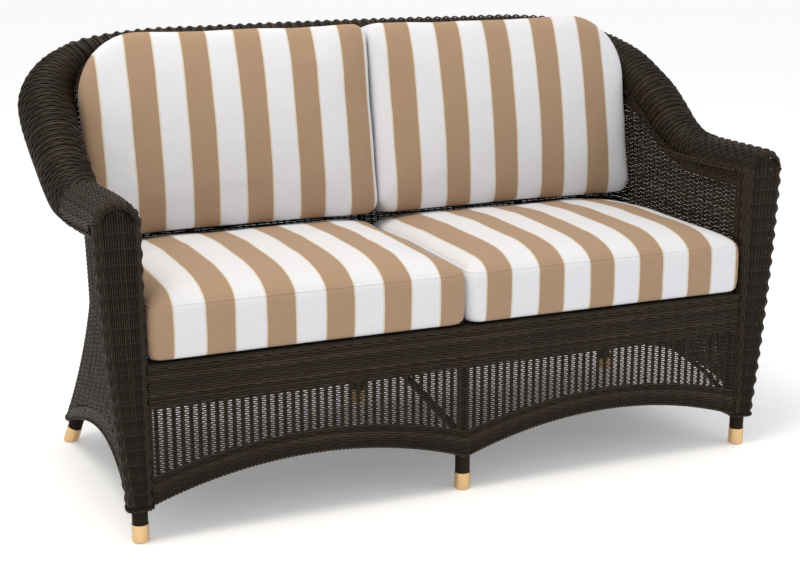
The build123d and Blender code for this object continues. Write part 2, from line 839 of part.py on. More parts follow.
def pillow_outline(left, right, low, high, corners, inset):
    """A closed outline with rounded corners and sides that pull in between them.

    The corners are given in turn: low left, low right, high right, high left.
    """
    x0, x1 = left + inset, right - inset
    y0, y1 = low + inset, high - inset
    widest = min(x1 - x0, y1 - y0) * widest_corner_share
    a, b, c, d = [min(radius + inset / 4, widest) for radius in corners]
    ease = 1 - math.sqrt(0.5)
    with BuildSketch() as outline:
        with BuildLine():
            ThreePointArc((x0 + a, y0), ((x0 + a + x1 - b) / 2, y0 + side_pull), (x1 - b, y0))
            ThreePointArc((x1 - b, y0), (x1 - b * ease, y0 + b * ease), (x1, y0 + b))
            ThreePointArc((x1, y0 + b), (x1 - side_pull, (y0 + b + y1 - c) / 2), (x1, y1 - c))
            ThreePointArc((x1, y1 - c), (x1 - c * ease, y1 - c * ease), (x1 - c, y1))
            ThreePointArc((x1 - c, y1), ((x0 + d + x1 - c) / 2, y1 - side_pull), (x0 + d, y1))
            ThreePointArc((x0 + d, y1), (x0 + d * ease, y1 - d * ease), (x0, y1 - d))
            ThreePointArc((x0, y1 - d), (x0 + side_pull, (y0 + a + y1 - d) / 2), (x0, y0 + a))
            ThreePointArc((x0, y0 + a), (x0 + a * ease, y0 + a * ease), (x0 + a, y0))
        make_face()
    return outline.sketch


# Each row of a cushion is a level between its two faces, how far its outline is drawn in there,
# and how much more its outer side is drawn in, all as shares of the cushion's thickness.
widest_corner_share = 0.44
seat_level_shares = (
    (0.000, 0.088, 0.0), (0.015, 0.048, 0.0), (0.045, 0.024, 0.0), (0.120, 0.009, 0.0),
    (0.250, 0.002, 0.0), (0.440, 0.000, 0.0), (0.620, 0.003, 0.0), (0.700, 0.012, 0.0),
    (0.752, 0.029, 0.0), (0.800, 0.075, 0.0), (0.850, 0.155, 0.0), (0.905, 0.285, 0.0),
    (0.950, 0.480, 0.0), (0.982, 0.740, 0.0), (1.000, 1.100, 0.0),
)
seat_core_shares = (0.120, 0.820, 0.220, 0.0)
back_level_shares = (
    (0.000, 1.250, 0.000), (0.020, 0.900, 0.000), (0.050, 0.580, 0.000), (0.090, 0.340, 0.000),
    (0.130, 0.170, 0.000), (0.170, 0.070, 0.000), (0.210, 0.022, 0.000), (0.300, 0.005, 0.000),
    (0.420, 0.000, 0.010), (0.560, 0.000, 0.035), (0.680, 0.003, 0.085), (0.800, 0.012, 0.180),
    (0.900, 0.045, 0.310), (0.965, 0.100, 0.440), (1.000, 0.180, 0.550),
)
back_core_shares = (0.200, 0.880, 0.220, 0.420)
back_front_share = 0.21

seat_cushion_rear = stay_back - stay_radius - seat_cushion_rear_gap
seat_frame = Plane.XY.offset(deck_top + seat_gap)
lean = math.atan(recline_slope)
stay_front = stay_back - stay_radius / math.cos(lean) + recline_slope * (back_cushion_bottom - seat_rail_top)
back_cushion_thickness = ((stay_front - seat_gap - back_cushion_front)
                          / (1 / math.cos(lean) - back_front_share))
back_crown = back_cushion_front - back_cushion_thickness * back_front_share
back_frame = Plane(origin=(0, y_at(back_crown), back_cushion_bottom), x_dir=(-1, 0, 0),
                   z_dir=(0, math.cos(lean), -math.sin(lean)))


def seat_outline(inset, draw):
    """The right-hand seat cushion from above: square at the front, round at the outer rear corner."""
    return pillow_outline(split_gap / 2, inside_half_width - seat_cushion_side_gap - draw,
                          y_at(seat_cushion_front), y_at(seat_cushion_rear),
                          (seat_corner, seat_corner, seat_rear_corner, seat_corner), inset)


def back_outline(inset, draw):
    """The right-hand back cushion seen square on from behind, with a well rounded outer top."""
    return pillow_outline(draw - back_cushion_width - split_gap / 2, -split_gap / 2, 0, back_cushion_height,
                          (back_corner, back_corner, back_corner, back_top_corner), inset)


def cushion(stem, frame, thickness, outline, level_shares, core_shares):
    """A crowned cover with its padding, round a square-cut block of foam."""
    core_low, core_high, core_inset, core_draw = [thickness * share for share in core_shares]
    with BuildPart() as core:
        with BuildSketch(frame.offset(core_low)):
            add(outline(core_inset, core_draw))
        extrude(amount=core_high - core_low)
    with BuildPart() as room:
        with BuildSketch(frame.offset(core_low - seat_gap)):
            add(outline(core_inset - seat_gap, core_draw))
        extrude(amount=core_high - core_low + 2 * seat_gap)
    with BuildPart() as cover:
        for level, inset, draw in level_shares:
            with BuildSketch(frame.offset(thickness * level)):
                add(outline(thickness * inset, thickness * draw))
        loft(ruled=True)
        add(room.part, mode=Mode.SUBTRACT)
    keep_pair(cover, stem + "_cover")
    keep_pair(core, stem + "_core")


def cushions():
    """Two loose seat cushions and two loose back cushions."""
    cushion("seat_cushion", seat_frame, seat_cushion_height, seat_outline,
            seat_level_shares, seat_core_shares)
    cushion("back_cushion", back_frame, back_cushion_thickness, back_outline,
            back_level_shares, back_core_shares)


front_posts()
arm_rolls()
back_roll()
bow_tube()
walls()
front_band()
front_open_weave()
front_border()
legs()
feet()
seat_rails()
centre_stretcher()
back_stays()
arch_rods()
deck_straps()
cushions()
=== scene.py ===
import json
import math
import bpy
import numpy as np
from mathutils import Matrix, Vector, noise


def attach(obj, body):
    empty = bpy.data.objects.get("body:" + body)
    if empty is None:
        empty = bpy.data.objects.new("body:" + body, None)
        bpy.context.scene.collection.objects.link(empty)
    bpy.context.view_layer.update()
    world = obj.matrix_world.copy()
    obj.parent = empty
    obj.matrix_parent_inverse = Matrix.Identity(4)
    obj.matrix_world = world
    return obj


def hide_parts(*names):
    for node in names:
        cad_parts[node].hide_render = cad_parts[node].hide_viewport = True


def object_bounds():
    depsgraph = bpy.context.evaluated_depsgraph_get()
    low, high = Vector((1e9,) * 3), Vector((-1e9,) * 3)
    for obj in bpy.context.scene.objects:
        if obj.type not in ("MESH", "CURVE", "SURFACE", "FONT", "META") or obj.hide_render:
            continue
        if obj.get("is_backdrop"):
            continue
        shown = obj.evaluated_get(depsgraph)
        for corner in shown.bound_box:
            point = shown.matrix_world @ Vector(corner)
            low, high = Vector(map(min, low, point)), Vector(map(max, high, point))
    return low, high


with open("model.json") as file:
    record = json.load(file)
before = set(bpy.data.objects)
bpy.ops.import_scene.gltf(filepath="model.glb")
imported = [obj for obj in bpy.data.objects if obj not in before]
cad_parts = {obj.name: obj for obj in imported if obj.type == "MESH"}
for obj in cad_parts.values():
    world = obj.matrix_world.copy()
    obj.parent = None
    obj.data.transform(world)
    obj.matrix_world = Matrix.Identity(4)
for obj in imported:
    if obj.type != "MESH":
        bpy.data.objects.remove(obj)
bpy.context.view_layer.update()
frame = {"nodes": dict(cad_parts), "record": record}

# Sizes in millimetres, as in the solids. A "back" distance counts from the post fronts.
MM = 0.001
DEPTH = 722.96
HALF_WIDTH = 636.0
SEAT_TOP = 345.0
ARCH_HEIGHT = 606.5
POST_X = 681.5
POST_DEPTH = 44.0
ARCH_RADIUS = 45.5
EDGE = 15.0
RECLINE = 0.19
STAKE = 16.5
ROLL_STAKE = 14.5
POST_ROW = 14.5
RNG = np.random.default_rng(7)


def unit(v):
    return v / np.maximum(np.linalg.norm(v, axis=-1, keepdims=True), 1e-9)


def y_at(back):
    return back - DEPTH / 2


def arc_height(x, half, end, peak):
    """Height of a flat arc over x from -half to half."""
    rise = peak - end
    radius = (half * half + rise * rise) / (2 * rise)
    return peak - radius + np.sqrt(np.maximum(radius * radius - np.minimum(abs(x), half) ** 2, 0))


# ---------------------------------------------------------------- materials
def new_material(name):
    mat = bpy.data.materials.new(name)
    mat.use_nodes = True
    nodes = mat.node_tree.nodes
    return mat, nodes, mat.node_tree.links, nodes["Principled BSDF"]


def node(nodes, kind, **values):
    made = nodes.new(kind)
    for key, value in values.items():
        if key in made.inputs:
            made.inputs[key].default_value = value
        else:
            setattr(made, key, value)
    return made


def ramp(nodes, stops):
    made = nodes.new("ShaderNodeValToRGB")
    while len(made.color_ramp.elements) < len(stops):
        made.color_ramp.elements.new(0.5)
    for element, (place, colour) in zip(made.color_ramp.elements, stops):
        element.position = place
        element.color = (*colour, 1)
    return made


def wicker_material():
    """Dark brown resin cane: every strand has its own tone, with fine lengthwise streaks and broad lighter and darker
    patches.
    """
    mat, nodes, links, bsdf = new_material("resin_wicker")
    tone = node(nodes, "ShaderNodeAttribute", attribute_name="tone")
    coord = nodes.new("ShaderNodeTexCoord")
    streak = node(nodes, "ShaderNodeTexNoise", Scale=90.0, Detail=4.0, Roughness=0.6)
    patch = node(nodes, "ShaderNodeTexNoise", Scale=5.0, Detail=3.0)
    links.new(coord.outputs["Object"], streak.inputs["Vector"])
    links.new(coord.outputs["Object"], patch.inputs["Vector"])
    strand = ramp(nodes, [(0.0, (0.0060, 0.0034, 0.0015)), (0.35, (0.0125, 0.0074, 0.0034)),
                          (0.75, (0.026, 0.0160, 0.0078)), (1.0, (0.055, 0.0360, 0.0190))])
    mixed = node(nodes, "ShaderNodeMath", operation="MULTIPLY_ADD")
    mixed.inputs[1].default_value = 0.45
    links.new(streak.outputs["Fac"], mixed.inputs[0])
    half_tone = node(nodes, "ShaderNodeMath", operation="MULTIPLY")
    half_tone.inputs[1].default_value = 0.62
    links.new(tone.outputs["Fac"], half_tone.inputs[0])
    links.new(half_tone.outputs[0], mixed.inputs[2])
    shifted = node(nodes, "ShaderNodeMath", operation="MULTIPLY_ADD")
    shifted.inputs[1].default_value = 0.3
    links.new(patch.outputs["Fac"], shifted.inputs[0])
    links.new(mixed.outputs[0], shifted.inputs[2])
    lowered = node(nodes, "ShaderNodeMath", operation="SUBTRACT")
    lowered.inputs[1].default_value = 0.17
    links.new(shifted.outputs[0], lowered.inputs[0])
    links.new(lowered.outputs[0], strand.inputs["Fac"])
    links.new(strand.outputs["Color"], bsdf.inputs["Base Color"])
    rough = node(nodes, "ShaderNodeMapRange")
    rough.inputs["To Min"].default_value = 0.40
    rough.inputs["To Max"].default_value = 0.62
    links.new(streak.outputs["Fac"], rough.inputs["Value"])
    links.new(rough.outputs["Result"], bsdf.inputs["Roughness"])
    bump = node(nodes, "ShaderNodeBump", Strength=0.25, Distance=0.0004)
    links.new(streak.outputs["Fac"], bump.inputs["Height"])
    links.new(bump.outputs["Normal"], bsdf.inputs["Normal"])
    bsdf.inputs["Specular IOR Level"].default_value = 0.22
    return mat


def stripe_material(name, tan_start, period):
    """Outdoor canvas with stripes that run from front to back, a thin cream line between the colours."""
    mat, nodes, links, bsdf = new_material(name)
    coord = nodes.new("ShaderNodeTexCoord")
    apart = nodes.new("ShaderNodeSeparateXYZ")
    links.new(coord.outputs["Object"], apart.inputs[0])
    wobble = node(nodes, "ShaderNodeTexNoise", Scale=9.0, Detail=2.0)
    links.new(coord.outputs["Object"], wobble.inputs["Vector"])
    shift = node(nodes, "ShaderNodeMath", operation="MULTIPLY_ADD")
    shift.inputs[1].default_value = 0.004
    links.new(wobble.outputs["Fac"], shift.inputs[0])
    links.new(apart.outputs["X"], shift.inputs[2])
    start = node(nodes, "ShaderNodeMath", operation="SUBTRACT")
    start.inputs[1].default_value = tan_start * MM + 0.002
    links.new(shift.outputs[0], start.inputs[0])
    over = node(nodes, "ShaderNodeMath", operation="DIVIDE")
    over.inputs[1].default_value = period * MM
    links.new(start.outputs[0], over.inputs[0])
    turn = node(nodes, "ShaderNodeMath", operation="FLOORED_MODULO")
    turn.inputs[1].default_value = 1.0
    links.new(over.outputs[0], turn.inputs[0])
    tan, white, cream = (0.335, 0.222, 0.142), (0.645, 0.648, 0.690), (0.58, 0.54, 0.45)
    bands = ramp(nodes, [(0.0, cream), (0.011, cream), (0.020, tan), (0.482, tan), (0.491, cream), (0.508, cream),
                         (0.520, white), (0.982, white), (0.992, cream)])
    links.new(turn.outputs[0], bands.inputs["Fac"])
    slub = node(nodes, "ShaderNodeTexNoise", Scale=220.0, Detail=3.0)
    links.new(coord.outputs["Object"], slub.inputs["Vector"])
    soft = node(nodes, "ShaderNodeMapRange")
    soft.inputs["To Min"].default_value = 0.90
    soft.inputs["To Max"].default_value = 1.06
    links.new(slub.outputs["Fac"], soft.inputs["Value"])
    dyed = node(nodes, "ShaderNodeVectorMath", operation="SCALE")
    links.new(bands.outputs["Color"], dyed.inputs[0])
    links.new(soft.outputs["Result"], dyed.inputs["Scale"])
    links.new(dyed.outputs[0], bsdf.inputs["Base Color"])
    warp = node(nodes, "ShaderNodeTexWave", Scale=420.0, Distortion=0.6, bands_direction="X")
    weft = node(nodes, "ShaderNodeTexWave", Scale=420.0, Distortion=0.6, bands_direction="Z")
    thread = node(nodes, "ShaderNodeMath", operation="MULTIPLY")
    for wave, socket in ((warp, 0), (weft, 1)):
        links.new(coord.outputs["Object"], wave.inputs["Vector"])
        links.new(wave.outputs["Fac"], thread.inputs[socket])
    joined = node(nodes, "ShaderNodeMath", operation="ADD")
    links.new(thread.outputs[0], joined.inputs[0])
    links.new(slub.outputs["Fac"], joined.inputs[1])
    bump = node(nodes, "ShaderNodeBump", Strength=0.18, Distance=0.0004)
    links.new(joined.outputs[0], bump.inputs["Height"])
    links.new(bump.outputs["Normal"], bsdf.inputs["Normal"])
    bsdf.inputs["Roughness"].default_value = 0.86
    bsdf.inputs["Specular IOR Level"].default_value = 0.25
    bsdf.inputs["Sheen Weight"].default_value = 0.12
    bsdf.inputs["Sheen Roughness"].default_value = 0.5
    return mat


def plain_material(name, low, high, rough_low, rough_high, scale, bump_strength, metal=0.0, stretch=(1, 1, 1),
                   wave=0.0):
    """A surface that varies between two colours and two roughnesses, with a matching bump."""
    mat, nodes, links, bsdf = new_material(name)
    coord = nodes.new("ShaderNodeTexCoord")
    mapping = nodes.new("ShaderNodeMapping")
    mapping.inputs["Scale"].default_value = stretch
    links.new(coord.outputs["Object"], mapping.inputs["Vector"])
    grain = node(nodes, "ShaderNodeTexNoise", Scale=scale, Detail=5.0, Roughness=0.6)
    links.new(mapping.outputs[0], grain.inputs["Vector"])
    colours = ramp(nodes, [(0.25, low), (0.75, high)])
    links.new(grain.outputs["Fac"], colours.inputs["Fac"])
    links.new(colours.outputs["Color"], bsdf.inputs["Base Color"])
    rough = node(nodes, "ShaderNodeMapRange")
    rough.inputs["To Min"].default_value = rough_low
    rough.inputs["To Max"].default_value = rough_high
    links.new(grain.outputs["Fac"], rough.inputs["Value"])
    links.new(rough.outputs["Result"], bsdf.inputs["Roughness"])
    height = grain.outputs["Fac"]
    if wave:
        threads = node(nodes, "ShaderNodeTexWave", Scale=wave, Distortion=0.4)
        links.new(coord.outputs["Object"], threads.inputs["Vector"])
        both = node(nodes, "ShaderNodeMath", operation="ADD")
        links.new(threads.outputs["Fac"], both.inputs[0])
        links.new(grain.outputs["Fac"], both.inputs[1])
        height = both.outputs[0]
    bump = node(nodes, "ShaderNodeBump", Strength=bump_strength, Distance=0.0005)
    links.new(height, bump.inputs["Height"])
    links.new(bump.outputs["Normal"], bsdf.inputs["Normal"])
    bsdf.inputs["Metallic"].default_value = metal
    return mat


WICKER = wicker_material()
PAINT = plain_material("frame_paint", (0.018, 0.013, 0.009), (0.030, 0.022, 0.016), 0.38, 0.55, 160, 0.3)
BRASS = plain_material("brass_ferrule", (0.62, 0.40, 0.19), (0.78, 0.55, 0.30), 0.22, 0.42, 60, 0.12, metal=1.0,
                       stretch=(1, 1, 9))
NYLON = plain_material("nylon_glide", (0.010, 0.009, 0.008), (0.022, 0.020, 0.018), 0.45, 0.62, 200, 0.25)
WEBBING = plain_material("webbing", (0.020, 0.016, 0.013), (0.040, 0.032, 0.026), 0.75, 0.9, 120, 0.6, wave=260)
FOAM = plain_material("foam", (0.62, 0.59, 0.48), (0.72, 0.69, 0.58), 0.85, 0.95, 300, 0.6)
NODE_MATERIAL = {"frame_paint": PAINT, "brass_ferrule": BRASS, "nylon_glide": NYLON, "webbing": WEBBING,
                 "foam": FOAM, "resin_wicker": WICKER}
for part in frame["record"]["subparts"]:
    finish = NODE_MATERIAL.get(part["material_slot"])
    if finish is not None:
        piece = frame["nodes"][part["node"]]
        piece.data.materials.clear()
        piece.data.materials.append(finish)


# ---------------------------------------------------------------- strands
class Strands:
    """Collects strands with a four-sided section and turns them into one mesh."""

    def __init__(self):
        self.points, self.quads, self.tones, self.total = [], [], [], 0

    def add(self, line, across, out, half_width, half_thick, tone):
        n = len(line)
        if n < 2:
            return
        wide = np.broadcast_to(half_width, n)[:, None] * across
        thick = np.broadcast_to(half_thick, n)[:, None] * out
        ring = np.stack([line + wide, line + thick, line - wide, line - thick], axis=1)
        start = self.total + 4 * np.arange(n - 1)[:, None]
        k = np.arange(4)[None]
        a, b = start + k, start + (k + 1) % 4
        quads = np.stack([a, b, b + 4, a + 4], axis=-1).reshape(-1, 4)
        caps = np.array([[3, 2, 1, 0], [0, 1, 2, 3]]) + self.total
        caps[1] += 4 * (n - 1)
        quads = np.concatenate([quads, caps])
        if np.dot(np.cross(across[0], out[0]), line[1] - line[0]) < 0:
            quads = quads[:, ::-1]
        self.points.append(ring.reshape(-1, 3))
        self.quads.append(quads)
        self.tones.append(np.full(4 * n, tone))
        self.total += 4 * n

    def mirrored(self):
        other = Strands()
        other.points = [p * np.array([-1, 1, 1]) for p in self.points]
        other.quads = [q[:, ::-1] for q in self.quads]
        other.tones = list(self.tones)
        other.total = self.total
        return other

    def build(self, name, nodes):
        points = np.concatenate(self.points) * MM
        quads = np.concatenate(self.quads)
        mesh = bpy.data.meshes.new(name)
        mesh.vertices.add(len(points))
        mesh.vertices.foreach_set("co", points.astype(np.float32).ravel())
        mesh.loops.add(quads.size)
        mesh.loops.foreach_set("vertex_index", quads.astype(np.int32).ravel())
        mesh.polygons.add(len(quads))
        mesh.polygons.foreach_set("loop_start", np.arange(0, quads.size, 4, dtype=np.int32))
        mesh.polygons.foreach_set("use_smooth", np.ones(len(quads), bool))
        mesh.update(calc_edges=True)
        mesh.attributes.new("tone", "FLOAT", "POINT").data.foreach_set(
            "value", np.concatenate(self.tones).astype(np.float32))
        mesh.materials.append(WICKER)
        obj = bpy.data.objects.new(name, mesh)
        bpy.context.scene.collection.objects.link(obj)
        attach(obj, "frame")
        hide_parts(*nodes)


def runs(mask):
    """Start and end of every stretch that is kept."""
    edges = np.flatnonzero(np.diff(np.concatenate([[0], mask.astype(int), [0]])))
    return list(zip(edges[::2], edges[1::2]))


def lay(strands, line, across_hint, half_width, half_thick, tone, mask, lift, outward):
    """One strand along a line on a surface, lifted off it by some amount."""
    along = unit(np.gradient(line, axis=0))
    out = unit(np.cross(along, across_hint)) * outward
    across = unit(np.cross(out, along))
    line = line + out * np.reshape(lift, (-1, 1)) if np.ndim(lift) else line + out * lift
    half_width = np.broadcast_to(half_width, len(line))
    for first, last in runs(np.ones(len(line), bool) if mask is None else mask):
        strands.add(line[first:last], across[first:last], out[first:last], half_width[first:last], half_thick, tone)


def weave(strands, place, rows, first, last, swing, half_width, half_thick, step, groove=0.0, kept=None,
          outward=1.0, inset=0.0, wander=0.0, together=0.0, ply=1):
    """Strands along u that pass over and under the stakes, which stand at whole numbers of u.

    Rows swing in turn, "ply" of them alike, and "together" raises all of them over every other stake.
    """
    us = np.linspace(first, last, int(round((last - first) * 3)) + 1)
    knots = np.arange(first, last + 4, 3.1)
    for k, v in enumerate(rows):
        vs = v + wander * np.interp(us, knots, RNG.normal(0, 1, len(knots)))
        line = place(us, vs)
        hint = place(us, vs + step) - place(us, vs - step)
        lift = (swing * np.cos(np.pi * (us + k // ply)) + together * np.cos(np.pi * us)
                - groove * (0.5 + 0.5 * np.cos(2 * np.pi * us)) - inset)
        wide = half_width(us, vs) if callable(half_width) else half_width
        mask = None if kept is None else kept(line, us, vs)
        lay(strands, line, hint, wide, half_thick, RNG.uniform(0, 1), mask, lift, outward)


def stakes(strands, place, at, low, high, count, radius, half_thick, kept=None, inset=0.0, offset=0.0):
    """Strands across the weave, one at every whole number of u."""
    vs = np.linspace(low, high, count)
    for u in at:
        us = np.full(count, u + offset)
        line = place(us, vs)
        hint = place(us + 0.05, vs) - place(us - 0.05, vs)
        mask = None if kept is None else kept(line, us, vs)
        lay(strands, line, hint, radius, half_thick, RNG.uniform(0, 1), mask, -inset, -1.0)


def rope(strands, line, out, radius, pitch):
    """Two strands twisted round each other along a line."""
    length = np.concatenate([[0], np.cumsum(np.linalg.norm(np.diff(line, axis=0), axis=1))])
    count = max(int(length[-1] / (pitch / 8)), 8)
    at = np.linspace(0, length[-1], count)
    path = np.stack([np.interp(at, length, line[:, i]) for i in range(3)], axis=1)
    face = unit(np.stack([np.interp(at, length, out[:, i]) for i in range(3)], axis=1))
    along = unit(np.gradient(path, axis=0))
    side = unit(np.cross(along, face))
    face = np.cross(side, along)
    for ply in range(2):
        angle = 2 * np.pi * (at / pitch + ply / 2)
        push = np.cos(angle)[:, None] * side + np.sin(angle)[:, None] * face
        centre = path + push * radius * 0.5
        tilt = np.cross(along, push)
        strands.add(centre, tilt, push, radius * 0.62, radius * 0.52, RNG.uniform(0.2, 1))


# ---------------------------------------------------------------- the rolls
# Stations of the roll's middle line as shares of its half span, run back, rise and swell in radius.
ROLL_HALF_SPAN, ROLL_START, ROLL_RUN, ROLL_BASE, ROLL_RISE = 701, 64, 630.96, 601, 258
ARM_ROLL_RADIUS, BACK_ROLL_RADIUS, BACK_ROLL_SWELL = 57, 28, 10.02
ROLL_PARTS = 12
ROLL_ROWS = ((0.9786, 0.1426, 0.004, 0.842), (0.9886, 0.2678, 0.000, 0.842), (0.9943, 0.3803, 0.027, 0.860),
             (0.9957, 0.4675, 0.109, 0.895), (0.9986, 0.5547, 0.244, 0.930), (1.0000, 0.6418, 0.372, 0.965),
             (0.9957, 0.7290, 0.469, 1.000), (0.9857, 0.8162, 0.578, 1.000), (0.9586, 0.8906, 0.682, 0.912),
             (0.9130, 0.9540, 0.783, 0.790), (0.8560, 0.9840, 0.872, 0.667))
BACK_ROWS = ((0.7775, 0.9965, 0.938, 0.350), (0.6676, 1.0000, 0.977, 0.120), (0.4280, 1.0000, 0.992, 0.000),
             (0.2140, 1.0000, 0.998, 0.000), (0.0, 1.0, 1.0, 0.0))
half = [(POST_X, y_at(POST_DEPTH), ARCH_HEIGHT, ARCH_RADIUS)]
half += [(ROLL_HALF_SPAN * a, y_at(ROLL_START + ROLL_RUN * b), ROLL_BASE + ROLL_RISE * c, ARM_ROLL_RADIUS * f)
         for a, b, c, f in ROLL_ROWS]
half += [(ROLL_HALF_SPAN * a, y_at(ROLL_START + ROLL_RUN * b), ROLL_BASE + ROLL_RISE * c,
          BACK_ROLL_RADIUS + BACK_ROLL_SWELL * f) for a, b, c, f in BACK_ROWS]
ARM_LAST = len(ROLL_ROWS)
stations = np.array(half + [(-x, y, z, r) for x, y, z, r in half[-2::-1]])


def smooth_line(points, parts):
    """A smooth line through the points, in even steps of its parameter."""
    chord = np.concatenate([[0], np.cumsum(np.linalg.norm(np.diff(points[:, :3], axis=0), axis=1))])
    slope = np.gradient(points, chord, axis=0)
    out = []
    for i in range(len(points) - 1):
        t = np.linspace(0, 1, parts, endpoint=False)[:, None]
        h = chord[i + 1] - chord[i]
        out.append((2 * t ** 3 - 3 * t ** 2 + 1) * points[i] + (t ** 3 - 2 * t ** 2 + t) * h * slope[i]
                   + (3 * t ** 2 - 2 * t ** 3) * points[i + 1] + (t ** 3 - t ** 2) * h * slope[i + 1])
    return np.concatenate(out + [points[-1:]])


front = np.array([[POST_X, y_at(d), ARCH_HEIGHT, ARCH_RADIUS] for d in (0.0, 11.0, 22.0, 33.0)])
first_run = np.concatenate([front, stations])
ROLL = smooth_line(first_run, ROLL_PARTS)
ROLL_S = np.concatenate([[0], np.cumsum(np.linalg.norm(np.diff(ROLL[:, :3], axis=0), axis=1))])
ARM_END = ROLL_S[ROLL_PARTS * (len(front) + ARM_LAST)]
ROLL_MIDDLE = ROLL_S[ROLL_PARTS * (len(front) + len(half) - 1)]


def roll_axis(s):
    """Middle, radius, inner side and upper side of the roll at a distance along it."""
    centre = np.stack([np.interp(s, ROLL_S, ROLL[:, i]) for i in range(3)], axis=-1)
    radius = np.interp(s, ROLL_S, ROLL[:, 3])
    ahead = np.stack([np.interp(s + 6, ROLL_S, ROLL[:, i]) - np.interp(s - 6, ROLL_S, ROLL[:, i])
                      for i in range(3)], axis=-1)
    along = unit(ahead)
    side = unit(np.cross(np.array([0.0, 0.0, 1.0]), along))
    return centre, radius, side, np.cross(along, side)


def roll_place(pitch, inset):
    """A place on the roll: u counts rings from the front, v is the angle from the inner side over the top."""
    def place(u, v):
        s = u * pitch
        centre, radius, side, up = roll_axis(s)
        rounding = np.where(s < EDGE, EDGE - np.sqrt(np.maximum(EDGE ** 2 - (EDGE - np.clip(s, 0, EDGE)) ** 2, 0)), 0)
        radius = radius - rounding - inset
        return centre + radius[:, None] * (np.cos(v)[:, None] * side + np.sin(v)[:, None] * up)
    return place


def ring_weave(strands, start, end, around, tilt=0.0, pitch=4.6, swing=0.55, inset=3.0, bulge=1.3):
    """Strands wound round a roll, in raised groups of three, over stakes that run along it."""
    theta = np.linspace(-np.pi / 2, 1.5 * np.pi, around * 2 + 1)
    for k in range(int((end - start) / pitch)):
        s = start + pitch * (k + 0.5) + tilt * np.sin(theta) + RNG.normal(0, 0.12)
        centre, radius, side, up = roll_axis(s)
        lift = swing * np.cos(around * (theta + np.pi / 2) / 2 + np.pi * k) + (bulge if k % 3 == 1 else -0.35 * bulge)
        out = np.cos(theta)[:, None] * side + np.sin(theta)[:, None] * up
        line = centre + out * (radius - inset + lift)[:, None]
        along = unit(np.gradient(line, axis=0))
        across = unit(np.cross(out, along))
        strands.add(line, across, out, pitch * (0.58 if k % 3 == 1 else 0.54), 1.4, RNG.uniform(0.1, 1))
    s = np.linspace(start, end, int((end - start) / 9))
    centre, radius, side, up = roll_axis(s)
    count = 2 * around
    for angle in np.linspace(0, 2 * np.pi, count, endpoint=False):
        out = np.cos(angle) * side + np.sin(angle) * up
        line = centre + out * (radius - inset - 2.4)[:, None]
        width = np.pi * (radius - inset - 2.4) / count * 1.06
        strands.add(line, unit(np.cross(out, np.gradient(line, axis=0))), out, width, 0.7, RNG.uniform(0, 0.4))


FLAT_ARM = 232.0


def arm_roll():
    """Strands run along the flat front of the arm, and round it where it climbs to the back."""
    strands = Strands()
    place = roll_place(ROLL_STAKE, 3.3)
    count = 60
    last = FLAT_ARM / ROLL_STAKE

    def kept(line, us, vs):
        inner = np.sin(vs) < -0.01
        return ~(inner & (us * ROLL_STAKE < POST_DEPTH + 1))

    def width(us, vs):
        return np.pi * roll_axis(us * ROLL_STAKE)[1] / count * 1.06

    weave(strands, place, 2 * np.pi * (np.arange(count) + 0.5) / count, 0.02, last, 1.1, width, 1.25, 0.02,
          groove=0.9, kept=kept, ply=2, together=0.5)
    ring = np.linspace(0, 2 * np.pi, 37)
    for u in np.arange(1, last):
        inside = u * ROLL_STAKE > POST_DEPTH + 1
        vs = ring if inside else ring[:19]
        line = place(np.full(len(vs), u), vs)
        centre = roll_axis(np.full(len(vs), u * ROLL_STAKE))[0]
        out = unit(line - centre)
        across = unit(np.cross(out, np.gradient(line, axis=0)))
        strands.add(line - out * 1.6, across, out, 1.6, 1.3, RNG.uniform(0, 0.5))
    ring_weave(strands, FLAT_ARM - 4, ARM_END + 2, 24)
    s = np.linspace(POST_DEPTH + 4, ARM_END - 4, 70)
    centre, radius, side, up = roll_axis(s)
    for angle, size in ((-0.12, 3.2), (np.pi + 0.5, 2.4)):
        out = np.cos(angle) * side + np.sin(angle) * up
        rope(strands, centre + out * (radius - 1.0)[:, None], out, size, 11)
    return strands


def back_roll():
    strands = Strands()
    ring_weave(strands, ARM_END, 2 * ROLL_MIDDLE - ARM_END, 14, tilt=9.0, pitch=7.6, swing=0.3, inset=3.2, bulge=2.4)
    return strands


right_arm = arm_roll()
right_arm.build("woven_arm_roll_right", ["arm_roll_wicker_right"])
right_arm.mirrored().build("woven_arm_roll_left", ["arm_roll_wicker_left"])
back_roll().build("woven_back_roll", ["back_roll_wicker"])


# ---------------------------------------------------------------- the posts
def bowed_x(z):
    """The bowed outer edge of a post."""
    (x0, z0), (x1, z1), (x2, z2) = (727.0, ARCH_HEIGHT), (713.0, 336.75), (687.0, 67.0)
    t = (z - z0) / (z2 - z0)
    mid = (z1 - z0) / (z2 - z0)
    bow = (x1 - (x0 + (x2 - x0) * mid)) / (mid * (1 - mid))
    return x0 + (x2 - x0) * t + bow * t * (1 - t)


